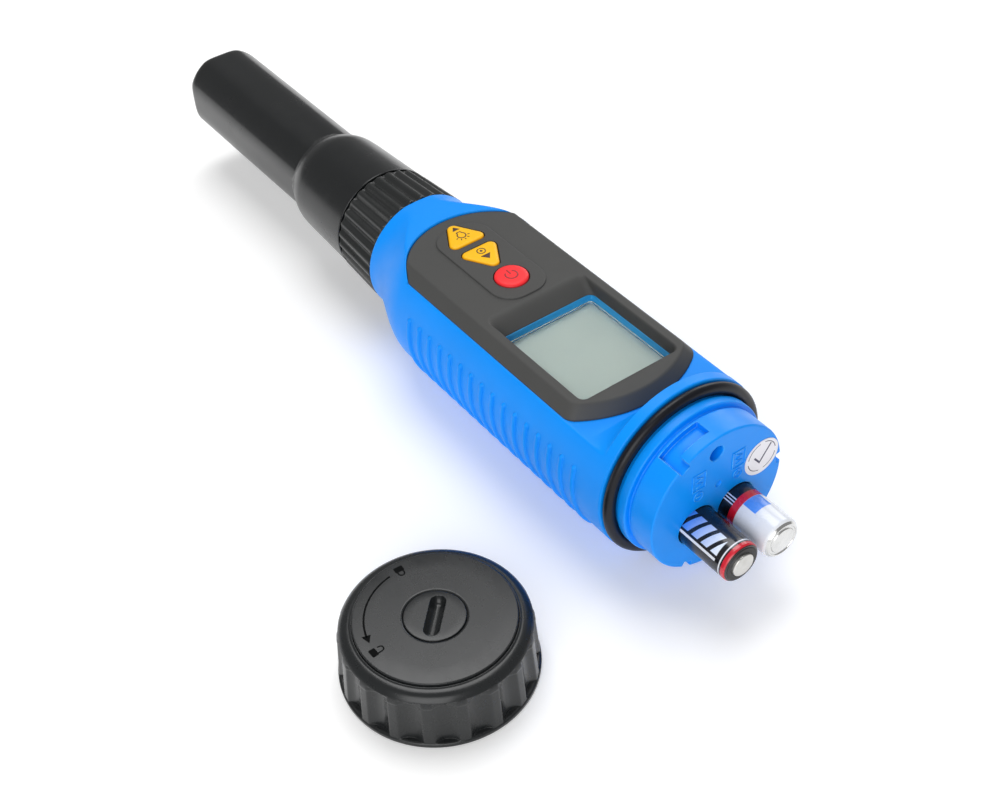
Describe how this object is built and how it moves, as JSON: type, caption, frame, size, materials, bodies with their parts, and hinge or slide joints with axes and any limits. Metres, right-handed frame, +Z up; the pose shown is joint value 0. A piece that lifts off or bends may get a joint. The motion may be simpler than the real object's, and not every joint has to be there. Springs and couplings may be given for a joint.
{
  "type": "digital ph meter",
  "caption": "Pen-type digital pH meter lying display up, with its round battery cap off beside it, two cells partly drawn out, and a capped probe behind a fluted collar.",
  "frame": {"origin": "middle of the flat rest pad on the underside of the grip, which lies on the table", "axes": "+X along the meter from the sensor tip to the battery end, +Y across it, +Z up through the display"},
  "size_m": [0.251, 0.1152, 0.0476],
  "materials": {
    "body_blue": "satin moulded",
    "panel_grey": "fine matt",
    "cap_black": "satin moulded",
    "collar_black": "semi gloss",
    "sleeve_black": "semi gloss",
    "seal_rubber": "matt",
    "key_amber": "satin",
    "key_red": "satin",
    "key_mat": "matt",
    "frame_blue": "gloss",
    "lens_clear": "gloss",
    "lcd": "matt",
    "light_guide": "gloss",
    "board_green": "solder mask",
    "screw_steel": "bright",
    "contact_gold": "bright",
    "cell_steel": "bright",
    "cell_black_label": "gloss film",
    "cell_silver_label": "gloss film",
    "cell_insulator": "matt",
    "sticker_white": "satin",
    "probe_black": "satin",
    "bulb_glass": "gloss",
    "junction_ceramic": "matt",
    "sponge": "porous",
    "washer_white": "satin"
  },
  "bodies": {
    "meter": {"housing": "body_blue", "front_panel": "panel_grey", "display_frame": "frame_blue", "window_lens": "lens_clear", "lcd_glass": "lcd", "backlight_plate": "light_guide", "circuit_board": "board_green", "button_mat": "key_mat", "board_screws": "screw_steel", "neck_connector": "probe_black", "rear_o_ring": "seal_rubber", "battery_plug": "body_blue", "bayonet_wall": "body_blue", "cell_tubes": "body_blue", "plug_screw": "screw_steel", "inner_contacts": "contact_gold", "round_sticker": "sticker_white"},
    "light_key": {"button_light": "key_amber"},
    "mode_key": {"button_mode": "key_amber"},
    "power_key": {"button_power": "key_red"},
    "left_cell": {"left_cell_can": "cell_steel", "left_cell_label": "cell_black_label", "left_cell_seal": "cell_insulator"},
    "right_cell": {"right_cell_can": "cell_steel", "right_cell_label": "cell_silver_label", "right_cell_seal": "cell_insulator"},
    "electrode": {"electrode_base": "probe_black", "electrode_seals": "seal_rubber", "connector_pins": "contact_gold", "probe_stem": "probe_black", "sensor_guard": "probe_black", "glass_bulb": "bulb_glass", "junction_ring": "junction_ceramic", "temperature_pin": "screw_steel", "cap_grip_ring": "seal_rubber"},
    "collar": {"collar_ring": "collar_black", "collar_washer": "washer_white"},
    "sleeve": {"protective_cap": "sleeve_black", "storage_sponge": "sponge"},
    "contact_unit": {"contact_carrier": "probe_black", "contact_bridge": "contact_gold", "contact_springs": "screw_steel", "carrier_rivet": "screw_steel"},
    "battery_cap": {"cap_shell": "cap_black", "cap_top_disc": "cap_black", "cap_coin_disc": "cap_black"}
  },
  "joints": [
    {"name": "light_press", "type": "slide", "parent": "meter", "child": "light_key", "axis": [0, 0, -1], "range_m": [0, 0.0008], "stiffness_N_per_m": 400, "springref_m": -0.0006},
    {"name": "mode_press", "type": "slide", "parent": "meter", "child": "mode_key", "axis": [0, 0, -1], "range_m": [0, 0.0008], "stiffness_N_per_m": 400, "springref_m": -0.0006},
    {"name": "power_press", "type": "slide", "parent": "meter", "child": "power_key", "axis": [0, 0, -1], "range_m": [0, 0.0008], "stiffness_N_per_m": 400, "springref_m": -0.0006},
    {"name": "left_cell_slide", "type": "slide", "parent": "meter", "child": "left_cell", "axis": [1, 0, 0], "range_m": [-0.0154, 0.045]},
    {"name": "right_cell_slide", "type": "slide", "parent": "meter", "child": "right_cell", "axis": [1, 0, 0], "range_m": [-0.0154, 0.045]},
    {"name": "electrode_pull", "type": "slide", "parent": "meter", "child": "electrode", "axis": [-1, 0, 0], "range_m": [0, 0.03]},
    {"name": "collar_turn", "type": "hinge", "parent": "electrode", "child": "collar", "pos_m": [-0.064, 0, 0.0238], "axis": [-1, 0, 0], "range_deg": [-360, 0]},
    {"name": "sleeve_off", "type": "slide", "parent": "electrode", "child": "sleeve", "axis": [-1, 0, 0], "range_m": [0, 0.1]},
    {"name": "cap_lift", "type": "slide", "parent": "meter", "child": "contact_unit", "axis": [0, 0, 1], "range_m": [0, 0.06]},
    {"name": "cap_turn", "type": "hinge", "parent": "contact_unit", "child": "battery_cap", "pos_m": [0.0491, -0.0678, 0], "axis": [0, 0, 1], "range_deg": [-26, 0]}
  ]
}
